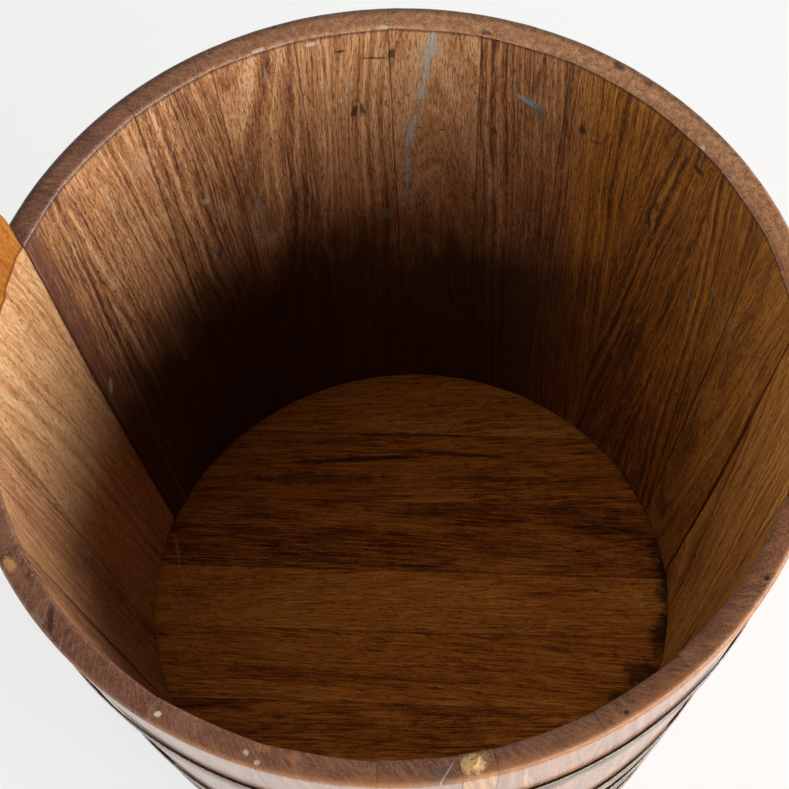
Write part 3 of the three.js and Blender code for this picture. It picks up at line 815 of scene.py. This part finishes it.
# Marks on the floor, in its boards' own frame: place and size in mm, turn, colour, strength
FLOOR_MARKS = [
    (206, 26, 34, 84, 8, "#1b1209", 0.85), (186, -60, 44, 34, -30, "#1b1209", 0.8),
    (172, -82, 34, 26, -35, "#1b1209", 0.7), (209, -22, 44, 46, -12, "#1b1209", 0.85),
    (204, -52, 34, 40, -25, "#1b1209", 0.75), (196, -86, 26, 44, -25, "#1b1209", 0.6),
    (-50, 124, 120, 5, 5, "#1d0d04", 0.75), (30, 131, 90, 4, -2, "#1d0d04", 0.75),
    (-10, 147, 150, 3, 1, "#1d0d04", 0.6), (-80, 106, 110, 12, 2, "#261407", 0.55),
    (60, 110, 110, 6, 1, "#261407", 0.5), (70, 43, 34, 8, 0, "#2a1206", 0.4),
    (-60, 40, 60, 4, 3, "#261407", 0.45), (-185, 30, 2, 60, 12, "#c79a62", 0.5),
    (-176, -12, 2, 70, 24, "#c79a62", 0.5), (-168, -40, 2, 44, -20, "#c79a62", 0.5),
    (-178, -8, 10, 9, 0, "#c08340", 0.5), (-120, -110, 26, 2, 35, "#a9763f", 0.4),
    (40, -130, 30, 2, -50, "#a9763f", 0.35), (120, 60, 24, 2, 20, "#b98a58", 0.4),
    (178, 12, 10, 6, 0, "#cdb38a", 0.5), (182, 4, 5, 8, 0, "#cdb38a", 0.5),
    (-170, -70, 40, 6, 20, "#b4702c", 0.5),
]


def floor_marks(tree, here, colour, rough, height):
    """Rain has stood against the wall at the right and left a dark stain, dark heartwood streaks run through
    the second board, and pots have scratched the left."""
    surface = add(tree, "Mapping", {"Vector": here, "Rotation": (0, 0, math.radians(-BOARD_ANGLE))})
    ragged = add(tree, "TexNoise", {"Vector": surface, "Scale": 110, "Detail": 5, "Roughness": 0.65})
    for x, y, width, deep, turn, code, strength in FLOOR_MARKS:
        colour, _ = mark(tree, surface, colour, ragged, (x, y), (width, deep), turn, code, strength)
    return colour, rough, height


FLOOR_TEAK = teak(
    "oiled_teak_floor",
    ["#512407", "#955012", "#c97a26", "#dd9035", "#ecaa4c"],
    {"roughness": 0.55, "bump": 0.6, "specular": 0.25, "grime": 0.3, "figure": 0.15, "scraped": 0.2},
    floor_marks,
)
seat = flat_radius(TONGUE_HIGH) + CROZE_DEPTH - FIT
disc = turned(
    "floor_disc", 180,
    [
        (FLOOR_BOTTOM, flat_radius(FLOOR_BOTTOM) - FIT),
        (TONGUE_LOW, flat_radius(TONGUE_LOW) - FIT),
        (TONGUE_LOW, flat_radius(TONGUE_LOW) + CROZE_DEPTH - FIT),
        (TONGUE_HIGH, seat),
        (TONGUE_HIGH, flat_radius(TONGUE_HIGH) - FIT),
        (FLOOR_TOP, flat_radius(FLOOR_TOP) - FIT),
    ],
)
edges = [seat]
for board_width in BOARD_WIDTHS:
    edges.append(edges[-1] - 2 * seat * board_width / sum(BOARD_WIDTHS))
dowel_places = [
    (side * DOWEL_SPREAD * math.sqrt(seat**2 - joint**2), joint) for joint in edges[1:-1] for side in (-1, 1)
]
holes = []
for x, y in dowel_places:
    bpy.ops.mesh.primitive_cylinder_add(
        vertices=24, radius=DOWEL_RADIUS + FIT, depth=DOWEL_LENGTH + 2 * FIT,
        location=(x, y, (FLOOR_TOP + FLOOR_BOTTOM) / 2), rotation=(math.pi / 2, 0, 0),
    )
    holes.append(bpy.context.object)
only(holes[0])
for hole in holes:
    hole.select_set(True)
bpy.ops.object.join()
drill = bpy.context.object
for i, (tone, cut) in enumerate(BOARD_LOOKS):
    board = copy_of(disc, f"floor_board_{i + 1}_wood")
    bpy.ops.object.mode_set(mode="EDIT")
    if i > 0:
        slice_at(1, [edges[i] - JOINT / 2], clear_outer=True, use_fill=True)
    if i < len(BOARD_LOOKS) - 1:
        slice_at(1, [edges[i + 1] + JOINT / 2], clear_inner=True, use_fill=True)
    pick("edges", lambda e: all_near(e, 2, FLOOR_TOP) and e.calc_face_angle(0) > 0.8)
    round_off(BOARD_EASE, 2)
    bpy.ops.object.mode_set(mode="OBJECT")
    bore = board.modifiers.new("dowel_holes", "BOOLEAN")
    bore.object = drill
    bpy.ops.object.modifier_apply(modifier="dowel_holes")
    bpy.ops.object.mode_set(mode="EDIT")
    slice_at(0, [BOARD_FACET * n for n in range(-17, 18)])
    low, high = edges[i + 1], edges[i]
    middle = (low + high) / 2
    slice_at(1, [low + BOARD_STRIP, high - BOARD_STRIP] + [low + (high - low) * n / 6 for n in range(1, 6)])
    bpy.ops.object.mode_set(mode="OBJECT")
    random.seed(i + 40)

    def lay(at):
        from_wall = flat_radius(FLOOR_TOP) - math.hypot(at.x, at.y)
        return Vector((at.z, at.y - middle, at.x)), max(0, min(high - at.y, at.y - low, from_wall))

    lie_in_log(board, cut, tone, lay)
    cup = random.uniform(-1.5e-4, 1.5e-4)
    for vertex in board.data.vertices:
        if vertex.co.z > FLOOR_TOP - 5e-4:
            across = (vertex.co.y - middle) / (high - middle)
            vertex.co.z -= 1.2e-4 * (1 + noise.noise(vertex.co * 30)) + abs(cup) * across**2
    board.rotation_euler.z = math.radians(BOARD_ANGLE)
    bpy.ops.object.transform_apply()
    smooth(board)
    board.data.materials.append(FLOOR_TEAK)
    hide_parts(f"floor_board_{i + 1}")
    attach(board, "root")
bpy.data.objects.remove(disc)
bpy.data.objects.remove(drill)

# ------------------------------------------------------------------ dowels
# Twelve beech dowels hide inside the floor, two to a joint. Beech is pale and even, with short brown flecks.
def speckled(name, scale, detail, ramp_stops, rough, bumpy):
    """A dull material that noise mottles between two colours: scale is its grains in a metre, each way."""
    material, tree, shader = start_material(name)
    place = add(tree, "TexCoord", [], "Object")
    place = add(tree, "Mapping", {"Vector": place, "Scale": scale})
    speck = add(tree, "TexNoise", {"Vector": place, "Scale": 1, "Detail": detail})
    ramp = add(tree, "ValToRGB", {"Fac": speck}, None)
    for stop, (position, code) in zip(ramp.color_ramp.elements, ramp_stops):
        stop.position, stop.color = position, linear(code)
    bump = add(tree, "Bump", {"Height": speck, "Strength": bumpy[0], "Distance": bumpy[1]})
    feed(tree, shader, {"Base Color": ramp.outputs["Color"], "Roughness": rough, "Normal": bump})
    return material


# Beech, sawn and turned: even and pale, and dull
BEECH = speckled(
    "turned_beech", (900, 60, 900), 3, [(0.35, "#a97c4e"), (0.62, "#d3ad7c")], 0.65, (0.3, 0.0003)
)
for i in range(len(dowel_places)):
    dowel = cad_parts[f"floor_dowel_{i + 1:02d}"]
    dowel.data.materials.clear()
    dowel.data.materials.append(BEECH)

# ------------------------------------------------------------------ hoops
# Four flat steel hoops, 25 mm wide, driven down over the taper. Each is one strip whose end climbs over its
# beginning, where two rivets close it. The steel is browned, its cut edges grey, near-black by the wood.

# How far each hoop's upper edge lies below the rim, and the angle where its lap begins. The end of the strip
# climbs over LAP_RAMP degrees.
HOOPS = {"top": (0.096, 96), "upper": (0.254, 108), "lower": (0.319, 90), "foot": (0.400, 102)}
HOOP_WIDTH = 0.025
HOOP_THICKNESS = 0.0018
HOOP_FIT = 0.0005
LAP_LENGTH = 0.056
LAP_RAMP = 8
HOOP_STEPS = 240
HOOP_CORNER = 0.003
HOOP_EASE = 0.0003
RIVET_SPACING = 0.028
RIVET_RADIUS = 0.0025
SLOPE = math.atan(TAPER)
LAP_LIFT = HOOP_THICKNESS + FIT
SEAM_DEPTH = 0.0010

# Rolled steel, browned: cloudy grey-brown with dark spots of rust, and a soft metal gleam
STEEL, tree, shader = start_material("rolled_steel_browned")
place = add(tree, "TexCoord", [], "Object")
cloud = add(tree, "TexNoise", {"Vector": place, "Scale": 28, "Detail": 5, "Roughness": 0.6})
speck = add(tree, "TexNoise", {"Vector": place, "Scale": 900, "Detail": 3})
ramp = add(tree, "ValToRGB", {"Fac": cloud}, None)
for stop, (position, code) in zip(ramp.color_ramp.elements, [(0.32, "#6f6055"), (0.62, "#b9aa9b")]):
    stop.position, stop.color = position, linear(code)
rust = add(tree, "MapRange", {"Value": cloud, "From Min": 0.60, "From Max": 0.72, "To Max": 0.7})
colour = {"Factor": rust, "A": ramp.outputs["Color"], "B": linear("#5a3a26")}
colour = add(tree, "Mix", colour, "Result", data_type="RGBA")
rough = add(tree, "MapRange", {"Value": speck, "To Min": 0.28, "To Max": 0.50})
bump = add(tree, "Bump", {"Height": speck, "Strength": 0.25, "Distance": 0.0002})
feed(tree, shader, {"Base Color": colour, "Roughness": rough, "Normal": bump, "Metallic": 1})

# Sheared edges, oxidised to a dull pale grey
OXIDE = speckled(
    "grey_oxide_on_cut_steel", (500, 500, 500), 4, [(0.35, "#a1978c"), (0.65, "#ded5ca")], 0.65, (0.4, 0.0002)
)
# Near-black on each hoop's edges where they meet the wood, which draws a thin dark line there
SEAM_BLACK = speckled(
    "black_grime_on_steel", (260, 260, 260), 4, [(0.35, "#0d0a08"), (0.70, "#2e251e")], 0.95, (0.6, 0.0002)
)

shank = (HOOP_THICKNESS + LAP_LIFT) * math.cos(SLOPE)
rivet_blank = turned(
    "rivet_blank", 28,
    [
        (0, RIVET_RADIUS), (shank + 0.0001, RIVET_RADIUS), (shank + 0.0001, 0.0052),
        (shank + 0.0005, 0.0055), (shank + 0.0011, 0.0051), (shank + 0.0017, 0.0040),
        (shank + 0.0021, 0.0026), (shank + 0.0023, 0.0012),
    ],
)
smooth(rivet_blank)
for name, (drop, lap_place) in HOOPS.items():
    upper = RIM_HEIGHT - drop
    lower = upper - HOOP_WIDTH * math.cos(SLOPE)
    level = (upper + lower) / 2
    lap = math.degrees(LAP_LENGTH / outer_radius(level))
    length = math.radians(360 + lap) * outer_radius(level)
    bpy.ops.object.select_all(action="DESELECT")
    bpy.ops.mesh.primitive_cube_add(size=1, location=(HOOP_THICKNESS / 2, length / 2, level))
    hoop = bpy.context.object
    hoop.name = hoop.data.name = f"{name}_hoop_steel"
    hoop.scale = (HOOP_THICKNESS, length, upper - lower)
    bpy.ops.object.transform_apply()
    bpy.ops.object.mode_set(mode="EDIT")
    pick("edges", lambda e: abs(e.verts[0].co.x - e.verts[1].co.x) > 1e-4)
    round_off(HOOP_CORNER, 4)
    pick("edges", lambda e: abs(e.verts[0].co.x - e.verts[1].co.x) < 1e-5 and e.calc_face_angle(0) > 0.8)
    round_off(HOOP_EASE, 2)
    slice_at(0, [SEAM_DEPTH])
    slice_at(1, [length * n / HOOP_STEPS for n in range(1, HOOP_STEPS)])
    bpy.ops.object.mode_set(mode="OBJECT")
    for vertex in hoop.data.vertices:
        out, run, z = vertex.co
        travelled = (360 + lap) * run / length
        climb = max(0, min(1, (travelled - 360 + LAP_RAMP) / LAP_RAMP))
        radius = outer_radius(z) + HOOP_FIT + out + LAP_LIFT * climb * climb * (3 - 2 * climb)
        angle = math.radians(lap_place + lap - travelled)
        vertex.co = (radius * math.cos(angle), radius * math.sin(angle), z)
    bpy.ops.object.mode_set(mode="EDIT")
    bpy.ops.mesh.select_all(action="SELECT")
    bpy.ops.mesh.normals_make_consistent(inside=False)
    bpy.ops.object.mode_set(mode="OBJECT")
    smooth(hoop)
    for material in (STEEL, OXIDE, SEAM_BLACK):
        hoop.data.materials.append(material)
    for face in hoop.data.polygons:
        if abs(face.normal.z) > 0.45:
            out = face.center.to_2d().length - outer_radius(face.center.z) - HOOP_FIT
            face.material_index = 2 if out < SEAM_DEPTH else 1
    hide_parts(f"{name}_hoop")
    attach(hoop, "root")
    for end in (-1, 1):
        rivet = copy_of(rivet_blank, f"{name}_hoop_rivet_{1 if end < 0 else 2}_steel")
        across = math.radians(lap_place + lap / 2) + end * RIVET_SPACING / 2 / outer_radius(level)
        rivet.data.transform(
            Matrix.Rotation(across, 4, "Z")
            @ Matrix.Translation((outer_radius(level) + HOOP_FIT, 0, level))
            @ Matrix.Rotation(SLOPE + math.pi / 2, 4, "Y")
        )
        rivet.data.materials.append(STEEL)
        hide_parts(f"{name}_hoop_rivet_{1 if end < 0 else 2}")
        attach(rivet, "root")
bpy.data.objects.remove(rivet_blank)

# ------------------------------------------------------------------ stage, light and camera
# A white paper sweep under the tub, one long soft light low at the right, weak bounce from the left and from
# above, and a dark room. The camera and glossy surfaces see the paper and the room as nearly white.
bpy.ops.object.select_all(action="DESELECT")
bpy.ops.mesh.primitive_plane_add(size=14)
sweep = bpy.context.object
sweep.name = "paper_sweep"
paper, tree, shader = start_material("white_paper")
feed(tree, shader, {"Base Color": linear("#f4f3f1"), "Roughness": 0.9})
rays = add(tree, "LightPath", [], None).outputs
seen = add(tree, "Math", [rays["Is Camera Ray"], rays["Is Glossy Ray"]], operation="MAXIMUM")
seen = add(tree, "Math", [seen, rays["Is Transmission Ray"]], operation="MAXIMUM")
seen = add(tree, "Math", [seen, 0.7], operation="MULTIPLY")
glow = add(tree, "Emission", {"Color": (1, 1, 1, 1), "Strength": 1})
lifted = add(tree, "MixShader", [seen, shader.outputs[0], glow])
tree.links.new(lifted, tree.nodes["Material Output"].inputs["Surface"])
sweep.data.materials.append(paper)

world = bpy.data.worlds.new("room")
bpy.context.scene.world = world
world.use_nodes = True
tree = world.node_tree
rays = add(tree, "LightPath", [], None).outputs
up = add(tree, "SeparateXYZ", [add(tree, "TexCoord", [], "Generated")], "Z")
walls = add(tree, "MapRange", {"Value": up, "From Min": 0.6, "From Max": 0.3, "To Max": 0.98})
seen = add(tree, "Math", [rays["Is Glossy Ray"], rays["Is Transmission Ray"]], operation="MAXIMUM")
seen = add(tree, "Math", [seen, walls], operation="MULTIPLY")
lit = add(tree, "Math", [rays["Is Camera Ray"], 0.98, seen], operation="MULTIPLY_ADD")
lit = add(tree, "Math", [lit, 0.02], operation="ADD")
tree.nodes["Background"].inputs["Color"].default_value = (1, 1, 1, 1)
tree.links.new(lit, tree.nodes["Background"].inputs["Strength"])


def soft_light(name, azimuth, elevation, width, height, radiance, distance=2.6):
    """A rectangle of light that looks at the middle of the tub from an azimuth and elevation in degrees."""
    azimuth, elevation = math.radians(azimuth), math.radians(elevation)
    aim = Vector((0, 0, 0.35))
    along = math.cos(elevation)
    direction = Vector((along * math.cos(azimuth), along * math.sin(azimuth), math.sin(elevation)))
    bpy.ops.object.light_add(type="AREA", location=aim + direction * distance)
    lamp = bpy.context.object
    lamp.name = name
    lamp.rotation_euler = direction.to_track_quat("Z", "Y").to_euler()
    lamp.data.shape = "RECTANGLE"
    lamp.data.size, lamp.data.size_y = width, height
    lamp.data.energy = math.pi * width * height * radiance
    lamp.visible_glossy = name == "side_softbox"


soft_light("side_softbox", -14, 12, 5.2, 1.5, 8.2)
soft_light("front_left_bounce", 237, 15, 3, 2, 1.1)
soft_light("left_bounce", 190, 15, 3, 2, 0.8)
soft_light("ceiling_bounce", 132, 56, 3.6, 2.2, 0.8)

# The camera as it stood for the photograph: degrees, metres and pixels. It looks at AIM, in the rim's plane.
AZIMUTH, ELEVATION, ROLL, DISTANCE, FOCAL_PIXELS, PHOTO_PIXELS = 11.5, 63.66, -4.29, 2.468, 3600, 789
AIM = Vector((-0.00018, -0.01488, 0))
turn = Matrix.Rotation(math.radians(AZIMUTH), 3, "Z")
lift = math.radians(ELEVATION)
back = turn @ Vector((0, -math.cos(lift), math.sin(lift)))
right = turn @ Vector((1, 0, 0))
up = turn @ Vector((0, math.sin(lift), math.cos(lift)))
roll = math.radians(ROLL)
right, up = math.cos(roll) * right + math.sin(roll) * up, math.cos(roll) * up - math.sin(roll) * right
eye = turn @ AIM + back * DISTANCE + Vector((0, 0, RIM_HEIGHT))
bpy.ops.object.camera_add()
camera = bpy.context.object
camera.matrix_world = Matrix.Translation(eye) @ Matrix((right, up, back)).transposed().to_4x4()
camera.data.lens = FOCAL_PIXELS / PHOTO_PIXELS * camera.data.sensor_width
bpy.context.scene.camera = camera
bpy.context.scene.view_settings.view_transform = "Standard"
